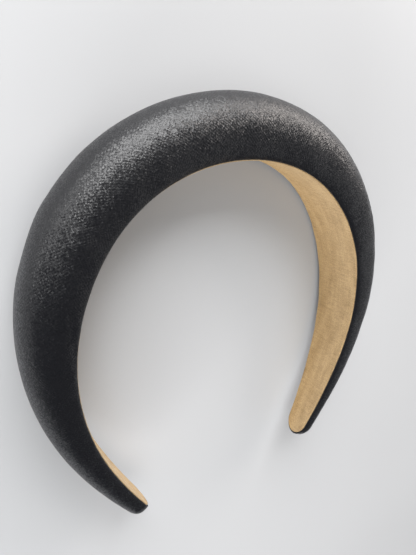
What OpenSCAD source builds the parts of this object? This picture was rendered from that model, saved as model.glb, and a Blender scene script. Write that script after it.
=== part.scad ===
// Padded headband lying on its side on a table, in millimetres.
// X runs across the head, Y up to the crown and Z across the width of the band.
// The origin is on the table, under the middle of the whole band.

/* [Arch] */
// Widest distance between the inner faces
inner_width = 134; // [120:1:150]
// Inner height, from the tips up to the crown
inner_height = 148; // [130:1:165]
// Distance between the inner faces at the tips
tip_opening = 84; // [64:1:104]

/* [Padding] */
// Width of the band where it is widest
band_width = 30; // [24:1:36]
// Width of the band near its tips
tip_width = 12; // [10:0.5:16]
// Thickness at the crown, lining included
crown_thickness = 24; // [16:1:30]
// Thickness near the tips, lining included
tip_thickness = 7.5; // [6:0.5:11]
// How far the padding bulges past the lining's edge at the crown
crown_bulge = 2.6; // [1:0.1:3.5]
// How far the padding bulges past the lining's edge near the tips
tip_bulge = 0.8; // [0.3:0.1:1.5]
// Fullness of the dome, 2 for an ellipse and more for a squarer back
dome_fullness = 2.2; // [2:0.1:3]
// Height of the padding's widest line over the inner face, at the crown
side_height = 8; // [5:0.5:11]
// Length of the rounded end of each leg
tip_round = 7; // [4:0.5:9]
// Share of the thickness that is left at the very end of each leg
tip_bluntness = 0.6; // [0.4:0.05:0.8]
// How far the side that lies on the table is pressed flat
rest_flat = 0.5; // [0.2:0.1:1]

/* [Lining] */
// Thickness of the strip inside the band
lining_thickness = 1; // [0.6:0.1:1.6]
// Softening of the strip's inner edges
lining_edge = 0.3; // [0.1:0.1:0.5]
// How far the strip stands proud of the cover beside it
lining_proud = 0.3; // [0:0.1:0.5]
// Cover showing past the rounded ends of the strip
tip_rim = 1; // [0.6:0.1:2.4]
// Clearance between the strip and its seat in the cover
lining_gap = 0.1; // [0.05:0.05:0.3]

/* [Hidden] */

cover_colour = [0.11, 0.115, 0.125];
lining_colour = [0.74, 0.62, 0.45];

// Columns of the station table, which runs along one leg from crown to tip in even steps.
// Bend is the rate of turn, in degrees over a whole leg.
// Width is the share of the way from tip_width to band_width.
// Thickness is the share of the way from tip_thickness to crown_thickness.
BEND = 0;
WIDTH = 1;
THICKNESS = 2;
stations = [
    [145, 0.78, 1.00],
    [188, 0.90, 0.93],
    [144, 1.00, 0.735],
    [110, 0.81, 0.48],
    [62, 0.45, 0.235],
    [11, 0.00, 0.00]
];
last_station = len(stations) - 1;

// Steps along the bare arch, rings along a leg, and points round a corner and over the dome.
arch_steps = 160;
ring_steps = 40;
corner_steps = 4;
dome_steps = 18;
// Angles at which rings lie on the rounded end of a leg.
tip_turns = [16, 32, 48, 62, 74, 84];

// Distance from the inner face of the lining to the floor of its seat.
seat_floor = lining_thickness + lining_gap;
// Height of the cover's edge over the seat at the very tips, where it has folded flat.
tip_edge = 0.2;
// Depth of the table under the middle plane of the band.
floor_depth = band_width / 2 - rest_flat;
// Share of the padding's depth at which it is widest.
side_share = (side_height - lining_proud) / (crown_thickness - lining_proud);

// Slope of a column at one station, per step. The crown is level, as both legs mirror there.
function slope(column, i) =
    i == 0 ? 0 :
    i == last_station ? stations[i][column] - stations[i - 1][column] :
    (stations[i + 1][column] - stations[i - 1][column]) / 2;

// Smooth reading of a column at a share of the leg.
function column_at(column, share) =
    let (place = share * last_station)
    let (i = min(floor(place), last_station - 1))
    let (t = place - i)
    stations[i][column] * (1 + 2 * t) * pow(1 - t, 2)
    + slope(column, i) * t * pow(1 - t, 2)
    + stations[i + 1][column] * pow(t, 2) * (3 - 2 * t)
    + slope(column, i + 1) * pow(t, 2) * (t - 1);

function step_bend(i) = column_at(BEND, min((i + 0.5) / arch_steps, 1)) / arch_steps;

// One leg of unit length, walked from the crown with the bend of the table.
plain_leg = [
    for (
        i = 0, turn = 0, at = [0, 0];
        i <= arch_steps;
        at = at + [cos(turn + step_bend(i) / 2), -sin(turn + step_bend(i) / 2)] / arch_steps,
        turn = turn + step_bend(i),
        i = i + 1
    )
    at
];
plain_half = max([for (at = plain_leg) at.x]);
plain_height = -min([for (at = plain_leg) at.y]);
widest = [for (i = [0:arch_steps]) if (plain_leg[i].x == plain_half) i][0];

// The leg at its real width and height, then swept in below its widest place to the tips.
sized_leg = [
    for (at = plain_leg)
    [at.x * inner_width / 2 / plain_half, at.y * inner_height / plain_height]
];
sweep = (inner_width - tip_opening) / (inner_width - 2 * sized_leg[arch_steps].x);
leg = [
    for (i = [0:arch_steps])
    i < widest ? sized_leg[i] :
    [inner_width / 2 - (inner_width / 2 - sized_leg[i].x) * sweep, sized_leg[i].y]
];

function run(from, to) = from >= to ? 0 : norm(leg[from + 1] - leg[from]) + run(from + 1, to);
leg_length = run(0, arch_steps);
round_start = 1 - tip_round / leg_length;
lining_end = 1 - tip_rim / leg_length;

function blend(a, b, t) = a + (b - a) * t;

// Point of the inner face at a share of the leg.
function face_at(share) =
    let (place = share * arch_steps)
    let (i = min(floor(place), arch_steps - 1))
    blend(leg[i], leg[i + 1], place - i);

// Direction of the leg at one of its points, taken level at the crown.
function way(i) =
    i == 0 ? [1, 0] :
    leg[min(i + 1, arch_steps)] - leg[i - 1];

// Direction straight out from the inner face at a share of the leg.
function out_at(share) =
    let (place = share * arch_steps)
    let (i = min(floor(place), arch_steps - 1))
    let (a = way(i) / norm(way(i)))
    let (b = way(i + 1) / norm(way(i + 1)))
    let (both = blend(a, b, place - i))
    [-both.y, both.x] / norm(both);

function half_at(share) = blend(tip_width, band_width, column_at(WIDTH, share)) / 2;
function thickness_at(share) = blend(tip_thickness, crown_thickness, column_at(THICKNESS, share));
function bulge_at(share) = blend(crown_bulge, tip_bulge, share);

// Rings of one leg as its share and how much of the width is left, from the crown to the end.
function leg_rings(end) = concat(
    [for (i = [0:ring_steps]) [round_start * i / ring_steps, 1]],
    [for (turn = tip_turns) [blend(round_start, end, sin(turn)), cos(turn)]]
);

// Rings of both legs with their side, from the left tip over the crown to the right tip.
function all_rings(end) =
    let (rings = leg_rings(end))
    concat(
        [for (i = [len(rings) - 1:-1:1]) [-1, rings[i][0], rings[i][1]]],
        [for (ring = rings) [1, ring[0], ring[1]]]
    );

// Point of a section: across is the width, out is the distance from the inner face.
function section_point(ring, across, out) =
    let (face = face_at(ring[1]))
    let (away = out_at(ring[1]))
    [
        ring[0] * (face.x + away.x * out),
        face.y + away.y * out,
        max(0, across + floor_depth)
    ];

function power(value, exponent) = sign(value) * pow(abs(value), exponent);

function lining_half(ring) = (half_at(ring[1]) - bulge_at(ring[1])) * ring[2];

// Section of the padding: seat of the lining, rounded corners beside it and a dome over them.
function padding_section(ring) =
    let (share = ring[1])
    let (left_over = ring[2])
    let (half = half_at(share) * left_over)
    let (seat = lining_half(ring) + lining_gap * left_over)
    let (edge = blend(seat_floor - tip_edge, lining_proud, left_over))
    let (depth = (thickness_at(share) - lining_proud) * blend(tip_bluntness, 1, left_over))
    let (side = lining_proud + depth * side_share)
    let (top = lining_proud + depth)
    let (corner = [for (i = [0:corner_steps - 1]) 90 * i / corner_steps])
    concat(
        [[seat, seat_floor]],
        [for (q = corner) [
            blend(seat, half, sin(q)),
            side - (side - edge) * cos(q)
        ]],
        [for (i = [0:dome_steps]) [
            half * power(cos(180 * i / dome_steps), 2 / dome_fullness),
            side + (top - side) * power(sin(180 * i / dome_steps), 2 / dome_fullness)
        ]],
        [for (i = [corner_steps - 1:-1:0]) [
            -blend(seat, half, sin(corner[i])),
            side - (side - edge) * cos(corner[i])
        ]],
        [[-seat, seat_floor]]
    );

// Section of the lining: a thin strip with softened edges on the head's side.
function lining_section(ring) =
    let (half = lining_half(ring))
    let (soft = min(lining_edge, half / 2))
    [
        [half - soft, 0],
        [half, lining_edge],
        [half, lining_thickness],
        [-half, lining_thickness],
        [-half, lining_edge],
        [soft - half, 0]
    ];

// Solid through rings of equal count, closed by a flat cap at each end.
module swept(rings, sections, shift) {
    count = len(sections[0]);
    total = len(rings);
    points = [
        for (i = [0:total - 1])
        for (point = sections[i])
        section_point(rings[i], point.x, point.y) - shift
    ];
    sides = [
        for (i = [0:total - 2])
        for (j = [0:count - 1])
        let (k = (j + 1) % count)
        each [
            [i * count + j, i * count + k, (i + 1) * count + k],
            [i * count + j, (i + 1) * count + k, (i + 1) * count + j]
        ]
    ];
    caps = [
        [for (j = [count - 1:-1:0]) j],
        [for (j = [0:count - 1]) (total - 1) * count + j]
    ];
    polyhedron(points = points, faces = concat(sides, caps), convexity = 6);
}

padding_rings = all_rings(1);
padding_sections = [for (ring = padding_rings) padding_section(ring)];
padding_heights = [
    for (i = [0:len(padding_rings) - 1])
    for (point = padding_sections[i])
    section_point(padding_rings[i], point.x, point.y).y
];
middle = [0, (max(padding_heights) + min(padding_heights)) / 2, 0];

lining_rings = all_rings(lining_end);
lining_sections = [for (ring = lining_rings) lining_section(ring)];

// Foam band in its taut cover, with a shallow seat for the lining.
module padded_band() {
    color(cover_colour)
    swept(padding_rings, padding_sections, middle);
}

// Soft strip glued into the seat along the inner face.
module lining() {
    color(lining_colour)
    swept(lining_rings, lining_sections, middle);
}

padded_band();
lining();
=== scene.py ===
"""Looks of the padded headband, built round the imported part. All lengths are in metres."""

import math

import bpy
import numpy as np
from mathutils import Matrix, Vector, noise


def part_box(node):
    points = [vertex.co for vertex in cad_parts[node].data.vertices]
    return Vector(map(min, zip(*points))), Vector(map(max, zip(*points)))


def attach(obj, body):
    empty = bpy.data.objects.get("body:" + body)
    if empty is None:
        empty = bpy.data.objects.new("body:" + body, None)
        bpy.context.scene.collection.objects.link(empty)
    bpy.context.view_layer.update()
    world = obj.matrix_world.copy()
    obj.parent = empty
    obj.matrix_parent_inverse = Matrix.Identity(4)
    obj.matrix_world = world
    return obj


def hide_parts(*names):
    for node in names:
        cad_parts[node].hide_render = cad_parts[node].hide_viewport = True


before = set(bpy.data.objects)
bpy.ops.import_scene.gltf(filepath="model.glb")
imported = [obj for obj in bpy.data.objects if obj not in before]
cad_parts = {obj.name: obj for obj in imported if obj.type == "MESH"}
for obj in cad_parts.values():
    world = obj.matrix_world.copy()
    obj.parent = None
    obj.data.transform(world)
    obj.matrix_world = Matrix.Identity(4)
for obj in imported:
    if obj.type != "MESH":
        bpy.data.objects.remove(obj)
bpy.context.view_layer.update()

# Sizes of the band, as in the part's source
INNER_WIDTH = 0.134
INNER_HEIGHT = 0.148
TIP_OPENING = 0.084
BAND_WIDTH = 0.030
TIP_WIDTH = 0.012
CROWN_THICKNESS = 0.024
TIP_THICKNESS = 0.0075
CROWN_BULGE = 0.0026
TIP_BULGE = 0.0008
DOME_FULLNESS = 2.2
SIDE_HEIGHT = 0.008
TIP_ROUND = 0.007
TIP_BLUNTNESS = 0.6
LINING_THICKNESS = 0.001
LINING_PROUD = 0.0003
TIP_RIM = 0.001
SEAT_GAP = 0.0001
SEAT_FLOOR = LINING_THICKNESS + SEAT_GAP
TIP_EDGE = 0.0002

# Columns of the stations: bend in degrees over a whole leg, share of the width, share of the thickness
BEND = 0
WIDTH = 1
THICKNESS = 2
# Even steps along a leg from crown to tip, as in the part's source
STATIONS = np.array([
    [145, 0.78, 1.00],
    [188, 0.90, 0.93],
    [144, 1.00, 0.735],
    [110, 0.81, 0.48],
    [62, 0.45, 0.235],
    [11, 0.00, 0.00],
])

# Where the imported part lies: middle of the band's width, and the inner face at the crown
lining_low, lining_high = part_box("lining")
MIDDLE_Z = (lining_low.z + lining_high.z) / 2
CROWN_Y = lining_high.y - LINING_THICKNESS

# Steps along the bare curve of a leg
ARCH_STEPS = 400
# Angle of the last ring on a leg's rounded end, just short of a point at 90 degrees
LAST_TURN = 88


def blend(a, b, t):
    return a + (b - a) * t


def column_at(column, share):
    """Smooth reading of one column of the stations at shares of a leg."""
    values = STATIONS[:, column]
    slopes = np.empty(len(values))
    slopes[0] = 0
    slopes[1:-1] = (values[2:] - values[:-2]) / 2
    slopes[-1] = values[-1] - values[-2]
    position = np.asarray(share, float) * (len(values) - 1)
    i = np.minimum(np.floor(position).astype(int), len(values) - 2)
    t = position - i
    return (
        values[i] * (1 + 2 * t) * (1 - t) ** 2
        + slopes[i] * t * (1 - t) ** 2
        + values[i + 1] * t**2 * (3 - 2 * t)
        + slopes[i + 1] * t**2 * (t - 1)
    )


def make_leg():
    """Points of one leg's inner face from crown to tip, the directions straight out of it, its length."""
    middles = (np.arange(ARCH_STEPS) + 0.5) / ARCH_STEPS
    bends = np.radians(column_at(BEND, middles)) / ARCH_STEPS
    turns = np.cumsum(bends) - bends / 2
    steps = np.stack([np.cos(turns), -np.sin(turns)], 1) / ARCH_STEPS
    points = np.concatenate([np.zeros((1, 2)), np.cumsum(steps, 0)])
    widest = int(points[:, 0].argmax())
    points[:, 0] *= INNER_WIDTH / 2 / points[:, 0].max()
    points[:, 1] *= INNER_HEIGHT / -points[:, 1].min()
    sweep = (INNER_WIDTH - TIP_OPENING) / (INNER_WIDTH - 2 * points[-1, 0])
    points[widest:, 0] = INNER_WIDTH / 2 - (INNER_WIDTH / 2 - points[widest:, 0]) * sweep
    ways = np.gradient(points, axis=0)
    ways[0] = (1, 0)
    ways /= np.linalg.norm(ways, axis=1, keepdims=True)
    length = np.linalg.norm(np.diff(points, axis=0), axis=1).sum()
    return points, np.stack([-ways[:, 1], ways[:, 0]], 1), length


LEG_POINTS, LEG_OUTS, LEG_LENGTH = make_leg()
ROUND_START = 1 - TIP_ROUND / LEG_LENGTH
LINING_END = 1 - TIP_RIM / LEG_LENGTH


def on_leg(table, share):
    """Reading between the rows of a table that runs along a leg."""
    position = np.asarray(share, float) * ARCH_STEPS
    i = np.minimum(np.floor(position).astype(int), ARCH_STEPS - 1)
    return blend(table[i], table[i + 1], (position - i)[..., None])


def half_at(share):
    return blend(TIP_WIDTH, BAND_WIDTH, column_at(WIDTH, share)) / 2


def thickness_at(share):
    return blend(TIP_THICKNESS, CROWN_THICKNESS, column_at(THICKNESS, share))


def bulge_at(share):
    return blend(CROWN_BULGE, TIP_BULGE, share)


def make_rings(end, leg_rings, tip_rings):
    """Side, share of the leg and share of the width left, for rings from the left tip to the right."""
    turns = np.radians(np.linspace(0, LAST_TURN, tip_rings + 1)[1:])
    share = np.concatenate([
        ROUND_START * np.arange(leg_rings + 1) / leg_rings,
        blend(ROUND_START, end, np.sin(turns)),
    ])
    left = np.concatenate([np.ones(leg_rings + 1), np.cos(turns)])
    side = np.concatenate([-np.ones(len(share) - 1), np.ones(len(share))])
    return side, np.concatenate([share[:0:-1], share]), np.concatenate([left[:0:-1], left])


def place(side, share, across, out):
    """Points of the part's frame, across the width and out from the inner face."""
    side, share, across, out = np.broadcast_arrays(side, share, across, out)
    face = on_leg(LEG_POINTS, share)
    away = on_leg(LEG_OUTS, share)
    away /= np.linalg.norm(away, axis=-1, keepdims=True)
    return np.stack([
        side * (face[..., 0] + away[..., 0] * out),
        CROWN_Y + face[..., 1] + away[..., 1] * out,
        MIDDLE_Z + across,
    ], -1)


def grid_object(name, points, layers, materials, edge_columns=()):
    """Closed tube through a grid of rings by columns, with a face over each end.

    Faces in the edge columns take the second material.
    """
    rings, columns = points.shape[:2]
    faces, corners, slots = [], [], []
    for i in range(rings - 1):
        for j in range(columns):
            k = (j + 1) % columns
            faces.append((i * columns + j, (i + 1) * columns + j, (i + 1) * columns + k, i * columns + k))
            corners += [(i, j), (i + 1, j), (i + 1, j + 1), (i, j + 1)]
            slots.append(1 if j in edge_columns else 0)
    for ring, order in ((0, range(columns)), (rings - 1, range(columns - 1, -1, -1))):
        faces.append(tuple(ring * columns + j for j in order))
        corners += [(ring, j) for j in order]
        slots.append(0)
    mesh = bpy.data.meshes.new(name)
    mesh.from_pydata(points.reshape(-1, 3).tolist(), [], faces)
    corners = np.array(corners)
    for layer_name, uvs in layers.items():
        layer = mesh.uv_layers.new(name=layer_name)
        layer.data.foreach_set("uv", uvs[corners[:, 0], corners[:, 1]].ravel())
    mesh.polygons.foreach_set("use_smooth", [True] * len(faces))
    for material in materials:
        mesh.materials.append(material)
    mesh.polygons.foreach_set("material_index", slots)
    mesh.update()
    piece = bpy.data.objects.new(name, mesh)
    bpy.context.scene.collection.objects.link(piece)
    return piece


def lengths(points, axis):
    """Distance walked along one axis of a grid of points, starting at zero."""
    steps = np.linalg.norm(np.diff(points, axis=axis), axis=-1)
    first = np.zeros_like(np.take(steps, [0], axis=axis))
    return np.concatenate([first, np.cumsum(steps, axis=axis)], axis=axis)


def grid_normals(points):
    """Unit normals of a closed grid, outward where its columns run round the section as they do here."""
    along = np.gradient(points, axis=0)
    around = np.roll(points, -1, axis=1) - np.roll(points, 1, axis=1)
    normals = np.cross(along, around)
    return normals / np.maximum(np.linalg.norm(normals, axis=-1, keepdims=True), 1e-12)


def noise_on(points, size, seed):
    """Smooth noise between about minus one and one, at points of any grid shape."""
    flat = points.reshape(-1, 3) / size + seed
    return np.array([noise.noise(Vector(p)) for p in flat]).reshape(points.shape[:-1])


def waves_on(points, waves):
    """Sum of smooth noises, each given by its size, seed and height."""
    return sum(noise_on(points, size, seed) * height for size, seed, height in waves)


# Millimetres in a UV unit, and millimetres in a metre
UV_MM = 10.0
MM = 1000


def in_uv(distance):
    return distance * MM / UV_MM


def uv_grid(points):
    """UVs along the band and round it, with zero halfway round the section."""
    closed = np.concatenate([points, points[:, :1]], 1)
    around = lengths(closed, 1)
    around -= around[:, -1:] / 2
    along = lengths(points.mean(1), 0)[:, None] + 0 * around
    return in_uv(np.stack([along, around], -1))


class Nodes:
    """Nodes of one material, made in a few words."""

    def __init__(self, name):
        self.material = bpy.data.materials.new(name)
        self.material.use_nodes = True
        self.tree = self.material.node_tree
        self.shader = self.tree.nodes["Principled BSDF"]

    def add(self, kind, inputs=None, **settings):
        node = self.tree.nodes.new(kind)
        for key, value in settings.items():
            setattr(node, key, value)
        for key, value in (inputs or {}).items():
            self.set(node.inputs[key], value)
        return node

    def set(self, socket, value):
        if isinstance(value, bpy.types.NodeSocket):
            self.tree.links.new(value, socket)
        else:
            socket.default_value = value

    def set_shader(self, **values):
        """Values for the shader's own sockets, named with underscores for spaces."""
        for name, value in values.items():
            self.set(self.shader.inputs[name.replace("_", " ")], value)

    def uv(self, layer):
        return self.add("ShaderNodeUVMap", uv_map=layer).outputs["UV"]

    def axes(self, vector):
        return self.add("ShaderNodeSeparateXYZ", {0: vector}).outputs

    def math(self, operation, a, b=0.0, c=0.0):
        node = self.add("ShaderNodeMath", {0: a, 1: b, 2: c}, operation=operation)
        return node.outputs[0]

    def weighted(self, first, *others):
        """Sum of values, each given with its weight."""
        total = self.math("MULTIPLY", *first)
        for value, weight in others:
            total = self.math("ADD", total, self.math("MULTIPLY", value, weight))
        return total

    def mix(self, factor, a, b):
        node = self.add("ShaderNodeMix", data_type="RGBA")
        self.set(node.inputs[0], factor)
        self.set(node.inputs[6], a)
        self.set(node.inputs[7], b)
        return node.outputs[2]

    def ramp(self, value, *stops):
        node = self.add("ShaderNodeValToRGB", {"Fac": value})
        for i, (at, colour) in enumerate(stops):
            stop = node.color_ramp.elements[i] if i < 2 else node.color_ramp.elements.new(at)
            stop.position = at
            stop.color = colour
        return node.outputs["Color"]

    def spread(self, value, low, high, to_low, to_high):
        node = self.add("ShaderNodeMapRange", {
            "Value": value, "From Min": low, "From Max": high, "To Min": to_low, "To Max": to_high,
        })
        return node.outputs["Result"]

    def stretch(self, vector, scale):
        return self.add("ShaderNodeMapping", {"Vector": vector, "Scale": scale}).outputs["Vector"]

    def noise(self, where, scale, detail=2.0, rough=0.5):
        node = self.add("ShaderNodeTexNoise", {
            "Vector": where, "Scale": scale, "Detail": detail, "Roughness": rough,
        })
        return node.outputs["Fac"]

    def cells(self, where, scale):
        node = self.add("ShaderNodeTexVoronoi", {"Vector": where, "Scale": scale, "Randomness": 1.0})
        return node.outputs

    def specks(self, where, scale, channel, size, rarity):
        """Round specks in those cells whose random colour is over the rarity in one channel."""
        cells = self.cells(where, scale)
        chance = self.add("ShaderNodeSeparateColor", {0: cells["Color"]}).outputs[channel]
        near = self.math("LESS_THAN", cells["Distance"], size)
        return self.math("MULTIPLY", near, self.math("GREATER_THAN", chance, rarity))

    def bump(self, height, distance, strength, normal=None):
        node = self.add("ShaderNodeBump", {"Height": height, "Distance": distance, "Strength": strength})
        if normal is not None:
            self.set(node.inputs["Normal"], normal)
        return node.outputs["Normal"]


def opaque(colour, lighter=1.0):
    return (*(lighter * part for part in colour), 1)


# Pitch of the cover's weave, and how far its lines wander, in radians of the weave's wave
WEAVE_PITCH_MM = 1.25
WEAVE_WANDER = 1.2
# How strongly single threads tilt the surface
THREAD_TILT = 0.15
COVER_DARK = (0.0022, 0.0023, 0.0031)
COVER_LIGHT = (0.0056, 0.0058, 0.0074)
LINT = (0.55, 0.53, 0.50)
COVER_SHEEN = (0.75, 0.80, 0.90)
LEVEL_NORMAL = (0.5, 0.5, 1.0)


def cover_material():
    """Black satin-finished cloth: a fine crossed weave with a glittering grain and specks of lint."""
    look = Nodes("black_satin_cover")
    uv = look.uv("cloth")
    axes = look.axes(uv)
    turns_in_uv = 2 * math.pi * UV_MM / WEAVE_PITCH_MM
    wobble = look.spread(look.noise(uv, 1.0), 0, 1, -WEAVE_WANDER, WEAVE_WANDER)
    along = look.math("MULTIPLY_ADD", axes["X"], turns_in_uv, wobble)
    across = look.math("MULTIPLY_ADD", axes["Y"], turns_in_uv, wobble)
    weave = look.math("MULTIPLY", look.math("SINE", along), look.math("SINE", across))
    grain = look.noise(uv, 20.0, 1.0, 0.5)
    wide = look.noise(uv, 0.8, 2.0, 0.5)
    threads = look.cells(uv, 24.0)["Color"]
    tilt = look.mix(THREAD_TILT, opaque(LEVEL_NORMAL), threads)
    normal_map = look.add("ShaderNodeNormalMap", {"Color": tilt, "Strength": 1.0}, uv_map="cloth")
    normal = look.bump(wide, 0.0006, 0.4, normal_map.outputs["Normal"])
    normal = look.bump(look.weighted((weave, 0.13), (grain, 0.5)), 0.00014, 1.0, normal)
    speck = look.specks(uv, 1.3, "Red", 0.024, 0.72)
    shade = look.ramp(grain, (0.3, opaque(COVER_DARK)), (0.72, opaque(COVER_LIGHT)))
    look.set_shader(
        Base_Color=look.mix(look.math("MULTIPLY", speck, 0.5), shade, opaque(LINT)),
        Roughness=look.spread(grain, 0.3, 0.7, 0.46, 0.36),
        Normal=normal,
        IOR=1.5,
        Sheen_Weight=0.015,
        Sheen_Roughness=0.4,
        Sheen_Tint=opaque(COVER_SHEEN),
    )
    return look.material


TAN_DARK = (0.184, 0.108, 0.041)
TAN_LIGHT = (0.390, 0.255, 0.110)
GREY_DARK = (0.162, 0.114, 0.064)
GREY_LIGHT = (0.368, 0.277, 0.166)
PRESSED_LINE = (0.26, 0.17, 0.09)
LINING_SPECK = (0.20, 0.085, 0.05)
LINING_SHEEN = (1.0, 0.88, 0.70)
# Where the pressed line runs, in UV units from the strip's near edge, and half its width
LINE_PLACE = 0.135
LINE_HALF = 0.022


def lining_material(name, lighter):
    """Tan suede strip: mottled nap, a greyer side, fine ripples and a pressed line by the near edge."""
    look = Nodes(name)
    uv = look.uv("cloth")
    rim = look.axes(look.uv("rim"))
    patches = look.noise(uv, 1.7, 4.0, 0.65)
    strokes = look.noise(look.stretch(uv, (0.25, 1.3, 1.0)), 2.4, 3.0, 0.55)
    ripples = look.noise(look.stretch(uv, (1.0, 0.22, 1.0)), 9.0, 2.0, 0.5)
    nap = look.noise(uv, 19.0, 3.0, 0.75)
    mottle = look.weighted((patches, 0.12), (strokes, 0.24), (ripples, 0.16), (nap, 0.48))
    tan = look.ramp(mottle, (0.38, opaque(TAN_DARK, lighter)), (0.62, opaque(TAN_LIGHT, lighter)))
    grey = look.ramp(mottle, (0.38, opaque(GREY_DARK, lighter)), (0.62, opaque(GREY_LIGHT, lighter)))
    greyness = look.math("MULTIPLY_ADD", strokes, 0.5, rim["Y"])
    colour = look.mix(look.spread(greyness, 0.05, 0.95, 0.0, 0.5), tan, grey)
    line = look.math("COMPARE", rim["X"], LINE_PLACE, LINE_HALF)
    colour = look.mix(look.math("MULTIPLY", line, 0.22), colour, opaque(PRESSED_LINE))
    speck = look.specks(uv, 3.4, "Green", 0.10, 0.62)
    colour = look.mix(look.math("MULTIPLY", speck, 0.30), colour, opaque(LINING_SPECK))
    height = look.math("ADD", nap, look.math("MULTIPLY", ripples, 0.5))
    height = look.math("SUBTRACT", height, look.math("MULTIPLY", line, 0.35))
    normal = look.bump(patches, 0.0005, 0.5)
    normal = look.bump(height, 0.00025, 0.9, normal)
    look.set_shader(
        Base_Color=colour,
        Roughness=0.95,
        Normal=normal,
        Specular_IOR_Level=0.15,
        Sheen_Weight=0.25,
        Sheen_Roughness=0.5,
        Sheen_Tint=opaque(LINING_SHEEN),
    )
    return look.material


FLOOR_DARK = (0.375, 0.379, 0.387)
FLOOR_LIGHT = (0.410, 0.414, 0.422)


def floor_material():
    look = Nodes("pale_floor")
    where = look.add("ShaderNodeTexCoord").outputs["Object"]
    cloud = look.noise(where, 3.0, 2.0, 0.5)
    look.set_shader(
        Base_Color=look.ramp(cloud, (0.3, opaque(FLOOR_DARK)), (0.7, opaque(FLOOR_LIGHT))),
        Roughness=0.6,
    )
    return look.material


# How much wider the strip is than in the part, towards its near and its far edge
NEAR_SPREAD = 0.00002
FAR_SPREAD = 0.00006
# Waves of the strip's edges: size in metres, seed, and height in metres
NEAR_WAVES = [(0.011, 5.5, 0.00022), (0.004, 1.5, 0.00007)]
FAR_WAVES = [(0.009, 9.5, 0.00025), (0.004, 7.5, 0.00008)]


def strip_halves(side, share, left):
    """Widths of the strip from its middle to its wavy near and far edges."""
    middle = place(side, share, 0, 0)
    plain = half_at(share) - bulge_at(share)
    near = plain + waves_on(middle, NEAR_WAVES) + NEAR_SPREAD
    far = plain + waves_on(middle, FAR_WAVES) + FAR_SPREAD
    return near * left, far * left


# Steps between the cover's columns: roll at the seat's edge, corner, dome and seat
ROLL_STEPS = 4
CORNER_STEPS = 12
DOME_STEPS = 64
SEAT_STEPS = 8
RISE_COLUMNS = ROLL_STEPS + CORNER_STEPS
# Columns from the seat's near edge over the dome to its far edge
ROUND_COLUMNS = 2 * RISE_COLUMNS + DOME_STEPS + 1
# The roll's radius, as a share of the room that it has
ROLL_SHARE = 0.4
# How much lower the cover's edges lie than in the part: the far edge, and the near edge by the crown
FAR_DROP = 0.00038
NEAR_CROWN_DROP = 0.00012
# Share of a leg over which the near edge comes back up
NEAR_DROP_REACH = 0.18


def cover_points(rings):
    """Grid of the cover, round each ring from the seat's near edge over the dome and through the seat."""
    side, share, left = (a[:, None] for a in rings)
    half = half_at(share) * left
    near_seat, far_seat = (strip + SEAT_GAP * left for strip in strip_halves(side, share, left))
    depth = (thickness_at(share) - LINING_PROUD) * blend(TIP_BLUNTNESS, 1, left)
    side_share = (SIDE_HEIGHT - LINING_PROUD) / (CROWN_THICKNESS - LINING_PROUD)
    widest = LINING_PROUD + depth * side_share
    top = LINING_PROUD + depth
    turn = np.linspace(0, math.pi / 2, ROLL_STEPS + 1)[:-1]
    corner = np.linspace(0, math.pi / 2, CORNER_STEPS + 1)[:-1]
    dome = np.linspace(0, math.pi, DOME_STEPS + 1)
    level = np.linspace(0, 1, SEAT_STEPS + 1)

    def power(value):
        return np.sign(value) * np.abs(value) ** (2 / DOME_FULLNESS)

    def rise(seat, lower):
        """Across and out of the side from the seat, with its edge lower than the strip's face."""
        edge = blend(SEAT_FLOOR - TIP_EDGE, lower, left)
        roll = np.minimum(ROLL_SHARE * (SEAT_FLOOR - edge), ROLL_SHARE * (half - seat))
        rise_across = [seat + roll * (1 - np.cos(turn)), blend(seat + roll, half, np.sin(corner))]
        rise_out = [edge + roll * (1 - np.sin(turn)), widest - (widest - edge) * np.cos(corner)]
        return np.concatenate(rise_across, 1), np.concatenate(rise_out, 1)

    near_drop = NEAR_CROWN_DROP * np.exp(-(share / NEAR_DROP_REACH) ** 2)
    near_across, near_out = rise(near_seat, LINING_PROUD + near_drop)
    far_across, far_out = rise(far_seat, LINING_PROUD + FAR_DROP)
    across = np.concatenate([
        near_across,
        half * power(np.cos(dome)),
        -far_across[:, ::-1],
        blend(-far_seat, near_seat, level),
    ], 1)
    out = np.concatenate([
        near_out,
        widest + (top - widest) * power(np.sin(dome)),
        far_out[:, ::-1],
        np.full((len(share), len(level)), SEAT_FLOOR),
    ], 1)
    return place(side, share, across, out)


# Steps between the grid lines that the simulation uses, over the dome and in the seat
SIM_STEP = 3
SIM_SEAT_STEP = 4
# Columns beyond the roll that are pinned with it and the seat
SIM_PIN_MARGIN = 2
SIM_FRAMES = 20
# Share of the unevenness that stays, and the most that it may be
SIM_SHARE = 0.5
SIM_MOST = 0.00025
# Spread of the broad swelling that is taken off first, in rows of the simulation
SIM_SPREAD = 6.0
# Spread of the last blur, in grid rows
SIM_BLUR = 1.5


def smoothed(values, spread):
    """Gaussian blur along the first axis, with the ends held."""
    reach = int(3 * spread)
    weights = np.exp(-0.5 * (np.arange(-reach, reach + 1) / spread) ** 2)
    weights /= weights.sum()
    padded = np.concatenate([values[:1]] * reach + [values] + [values[-1:]] * reach)
    return sum(w * padded[i:i + len(values)] for i, w in enumerate(weights))


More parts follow.
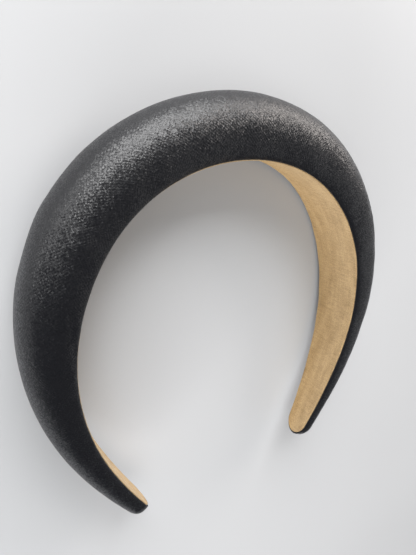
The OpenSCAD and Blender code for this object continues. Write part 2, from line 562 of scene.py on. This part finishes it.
def simulate_cloth(points, pinned):
    """Places of a grid's points after a short cloth simulation under pressure, with columns pinned."""
    sim = grid_object("sim_cover", points, {}, [])
    indices = np.arange(points.shape[0] * points.shape[1]).reshape(points.shape[:2])
    group = sim.vertex_groups.new(name="pinned")
    group.add(indices[:, pinned].ravel().tolist(), 1.0, "REPLACE")
    cloth = sim.modifiers.new("cloth", "CLOTH")
    settings = cloth.settings
    settings.quality = 6
    settings.vertex_group_mass = "pinned"
    settings.tension_stiffness = 30
    settings.compression_stiffness = 30
    settings.shear_stiffness = 8
    settings.bending_stiffness = 0.6
    settings.shrink_min = -0.015
    settings.use_pressure = True
    settings.uniform_pressure_force = 4
    settings.effector_weights.gravity = 0
    cloth.point_cache.frame_start = 1
    cloth.point_cache.frame_end = SIM_FRAMES
    scene = bpy.context.scene
    for number in range(1, SIM_FRAMES + 1):
        scene.frame_set(number)
    settled = sim.evaluated_get(bpy.context.evaluated_depsgraph_get()).data
    moved = np.empty(points.size)
    settled.vertices.foreach_get("co", moved)
    scene.frame_set(1)
    bpy.data.objects.remove(sim)
    return moved.reshape(points.shape)


def simulated_unevenness(points, normals):
    """How far the cover stands out at each grid point after a short cloth simulation.

    The cover is pinned in its seat and pressed outward. The foam keeps the section's form, which the
    simulation doesn't know, so only the unevenness along the band is kept, with a cap.
    """
    rows = np.arange(0, points.shape[0], SIM_STEP)
    columns = np.concatenate([
        np.arange(0, ROUND_COLUMNS, SIM_STEP),
        np.arange(ROUND_COLUMNS, points.shape[1], SIM_SEAT_STEP),
    ])
    coarse = points[rows][:, columns]
    margin = ROLL_STEPS + SIM_PIN_MARGIN
    pinned = (columns < margin) | (columns >= ROUND_COLUMNS - margin)
    outward = ((simulate_cloth(coarse, pinned) - coarse) * normals[rows][:, columns]).sum(-1)
    uneven = outward - smoothed(outward, SIM_SPREAD)
    uneven = SIM_MOST * np.tanh(SIM_SHARE * uneven / SIM_MOST)
    uneven[:, pinned] = 0
    every_row = np.arange(points.shape[0])
    by_row = np.stack([np.interp(every_row, rows, column) for column in uneven.T], 1)
    every_column = np.arange(points.shape[1])
    wrapped = np.append(columns, points.shape[1])
    full = np.stack([np.interp(every_column, wrapped, np.append(row, row[0])) for row in by_row])
    full = smoothed(full, SIM_BLUR)
    return (full + np.roll(full, 1, 1) + np.roll(full, -1, 1)) / 3


# Soft dents and rises of the cover in the photo: start and end in metres, reach, and height
FOLDS = [
    ((-0.0668, 0.0225, 0.0290), (-0.0672, 0.0035, 0.0285), 0.0011, -0.00028),
    ((-0.0665, 0.0180, 0.0300), (-0.0672, 0.0060, 0.0295), 0.0010, 0.00016),
    ((-0.0672, 0.0530, 0.0097), (-0.0700, 0.0500, 0.0140), 0.0060, 0.00030),
    ((-0.0735, 0.0380, 0.0080), (-0.0745, 0.0350, 0.0140), 0.0050, -0.00018),
]
# Waves of the cover's surface: size in metres, seed, and height in metres
COVER_WAVES = [(0.022, 3.1, -0.00016), (0.008, 8.7, -0.00006)]
# Share of the waves and unevenness left at the tips, and how fast it grows to all with the thickness
CALM_AT_TIPS = 0.15
CALM_GROWTH = 1.3
# Rings along a leg and on its rounded end
COVER_RINGS = 230
COVER_TIP_RINGS = 22


def fold(points, start, end, reach, height):
    """How far each point stands out because of one soft fold between two places."""
    start, end = np.array(start), np.array(end)
    line = end - start
    along = np.clip(((points - start) @ line) / (line @ line), 0, 1)
    away = np.linalg.norm(points - start - along[..., None] * line, axis=-1)
    return height * np.exp(-((away / reach) ** 2))


def free_share():
    """How freely each column of the cover may move: not in the seat, and fully over the dome."""
    free = np.zeros(ROUND_COLUMNS + SEAT_STEPS + 1)
    free[:RISE_COLUMNS] = np.linspace(0, 1, RISE_COLUMNS)
    free[RISE_COLUMNS:RISE_COLUMNS + DOME_STEPS + 1] = 1
    free[RISE_COLUMNS + DOME_STEPS + 1:ROUND_COLUMNS] = np.linspace(1, 0, RISE_COLUMNS)
    return free


def make_cover():
    rings = make_rings(1, COVER_RINGS, COVER_TIP_RINGS)
    points = cover_points(rings)
    normals = grid_normals(points)
    stand = waves_on(points, COVER_WAVES)
    stand = stand + simulated_unevenness(points, normals)
    fullness = np.clip(column_at(THICKNESS, rings[1]) * CALM_GROWTH, 0, 1)
    stand = stand * blend(CALM_AT_TIPS, 1, fullness)[:, None]
    for one in FOLDS:
        stand = stand + fold(points, *one)
    points = points + normals * (stand * free_share())[..., None]
    points[..., 2] = np.maximum(points[..., 2], 0)
    return grid_object("cover", points, {"cloth": uv_grid(points)}, [cover_material()])


# Shallow dimples in the strip: side, share of the leg, place across and depth
DIMPLES = [
    (1, 0.862, 0.0038, 0.00030),
    (1, 0.915, -0.0010, 0.00026),
    (1, 0.80, -0.0020, 0.00018),
    (-1, 0.93, 0.0005, 0.00022),
]
DIMPLE_REACH = 0.0026
# Softening of the strip's inner edges, and the columns of one softened edge
EDGE_SOFTNESS = 0.00035
EDGE_COLUMNS = 5
FACE_STEPS = 26
# Rings along a leg and on its rounded end
LINING_RINGS = 220
LINING_TIP_RINGS = 18
# Columns of faces at each side of the strip that show its cut edge, and how much lighter that is
CUT_COLUMNS = 3
CUT_LIGHTER = 1.03


def lining_points(rings):
    """Grid of the strip, from the back of its far edge over its face to the back of its near edge.

    It comes with each point's place across and the half widths without waves.
    """
    side, share, left = (a[:, None] for a in rings)
    plain = (half_at(share) - bulge_at(share)) * left
    near, far = strip_halves(side, share, left)
    soft = np.minimum(EDGE_SOFTNESS, plain / 2)
    turn = np.linspace(0, math.pi / 2, EDGE_COLUMNS)
    level = np.linspace(0, 1, FACE_STEPS + 1)[1:-1]
    back = LINING_THICKNESS + 0 * plain
    down = soft * (1 - np.sin(turn))
    across = np.concatenate([
        near,
        near - soft * (1 - np.cos(turn)),
        blend(near - soft, soft - far, level),
        soft * (1 - np.cos(turn[::-1])) - far,
        -far,
    ], 1)
    out = np.concatenate([back, down, 0 * plain * level, down[:, ::-1], back], 1)
    # Turned round, so that the faces look outward as the cover's do
    across, out = across[:, ::-1], out[:, ::-1]
    for at_side, at_share, at_across, depth in DIMPLES:
        away = ((share - at_share) * LEG_LENGTH) ** 2 + (across - at_across) ** 2
        dip = depth * np.exp(-away / DIMPLE_REACH**2)
        out = out + dip * (side == at_side) * (out < LINING_THICKNESS / 2)
    return place(side, share, across, out), across, plain


def make_lining():
    rings = make_rings(LINING_END, LINING_RINGS, LINING_TIP_RINGS)
    points, across, plain = lining_points(rings)
    uvs = uv_grid(points)
    uvs[:, :-1, 1] = in_uv(across)
    uvs[:, -1, 1] = uvs[:, 0, 1]
    rim = np.stack([in_uv(plain - across), across / plain / 2 + 0.5], -1)
    rim = np.concatenate([rim, rim[:, :1]], 1)
    looks = [lining_material("tan_suede", 1.0), lining_material("tan_suede_cut_edge", CUT_LIGHTER)]
    back_column = points.shape[1] - 1
    edges = {*range(CUT_COLUMNS), *range(back_column - CUT_COLUMNS, back_column)}
    return grid_object("lining_strip", points, {"cloth": uvs, "rim": rim}, looks, edges)


cover = make_cover()
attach(cover, "root")
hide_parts("padded_band")

lining = make_lining()
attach(lining, "root")
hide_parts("lining")

FLOOR_REACH = 3.0


def make_floor():
    mesh = bpy.data.meshes.new("floor")
    corners = [(-1, -1), (1, -1), (1, 1), (-1, 1)]
    mesh.from_pydata([(x * FLOOR_REACH, y * FLOOR_REACH, 0) for x, y in corners], [], [(0, 1, 2, 3)])
    mesh.materials.append(floor_material())
    floor = bpy.data.objects.new("floor", mesh)
    bpy.context.scene.collection.objects.link(floor)


make_floor()

# Camera, found by fitting the photo's outline: turn, rise and roll in radians about the arch on its tips
FRAME_HEIGHT_PX = 555
FOCAL_PX = 485.0
CAMERA_TURN = -0.53281
CAMERA_RISE = 0.39439
CAMERA_ROLL = -0.03066
CAMERA_DISTANCE = 0.19729
# What it looks at, across and up from the inner face at the crown
LOOK_AT = (-0.00662, -0.04692)
SENSOR_MM = 36.0
NEAREST_SEEN = 0.01


def make_camera():
    """The photo's view, turned with the arch from standing on its tips to lying on its side."""
    away = Vector((
        math.sin(CAMERA_TURN) * math.cos(CAMERA_RISE),
        math.sin(CAMERA_RISE),
        math.cos(CAMERA_TURN) * math.cos(CAMERA_RISE),
    ))
    target = Vector((LOOK_AT[0], CROWN_Y + LOOK_AT[1], MIDDLE_Z))
    right = (-away).cross(Vector((0, 1, 0))).normalized()
    up = right.cross(-away)
    turned_right = math.cos(CAMERA_ROLL) * right + math.sin(CAMERA_ROLL) * up
    turned_up = math.cos(CAMERA_ROLL) * up - math.sin(CAMERA_ROLL) * right
    data = bpy.data.cameras.new("camera")
    data.sensor_width = SENSOR_MM
    data.lens = FOCAL_PX * SENSOR_MM / FRAME_HEIGHT_PX
    data.clip_start = NEAREST_SEEN
    camera = bpy.data.objects.new("camera", data)
    rotation = Matrix((turned_right, turned_up, away)).transposed()
    camera.matrix_world = Matrix.Translation(target + away * CAMERA_DISTANCE) @ rotation.to_4x4()
    bpy.context.scene.collection.objects.link(camera)
    bpy.context.scene.camera = camera


make_camera()

LIGHTS_AIM = Vector((0, 0.02, 0.01))


def soft_light(name, heading, rise, size, power, colour=(1, 1, 1), glints=True):
    """Rectangular light a metre off the band, by its heading and its rise over the floor in degrees."""
    heading, rise = math.radians(heading), math.radians(rise)
    towards = Vector((
        math.cos(heading) * math.cos(rise),
        math.sin(heading) * math.cos(rise),
        math.sin(rise),
    ))
    data = bpy.data.lights.new(name, "AREA")
    data.shape = "RECTANGLE"
    data.size, data.size_y = size
    data.energy = power
    data.color = colour
    light = bpy.data.objects.new(name, data)
    light.location = LIGHTS_AIM + towards
    light.rotation_mode = "QUATERNION"
    light.rotation_quaternion = towards.to_track_quat("Z", "Y")
    light.visible_glossy = glints
    bpy.context.scene.collection.objects.link(light)


soft_light("key", 91, 26, (0.85, 0.74), 25.0)
soft_light("left_glow", 138, 46, (0.5, 0.4), 1.3)
soft_light("left_low", 147, 9, (0.5, 0.16), 3.2)
soft_light("right_back", 34, 18, (0.60, 0.40), 8.6, (1.0, 0.93, 0.88))
soft_light("right_fill", -25, 26, (0.8, 0.35), 1.0)
soft_light("low_fill", -112, 12, (0.9, 0.3), 20.0, glints=False)
soft_light("high_fill", -150, 65, (0.9, 0.6), 3.4, glints=False)

world = bpy.data.worlds.new("studio")
world.use_nodes = True
background = world.node_tree.nodes["Background"]
background.inputs["Color"].default_value = (0.92, 0.95, 1.0, 1)
background.inputs["Strength"].default_value = 0.06
bpy.context.scene.world = world
bpy.context.scene.view_settings.view_transform = "Standard"
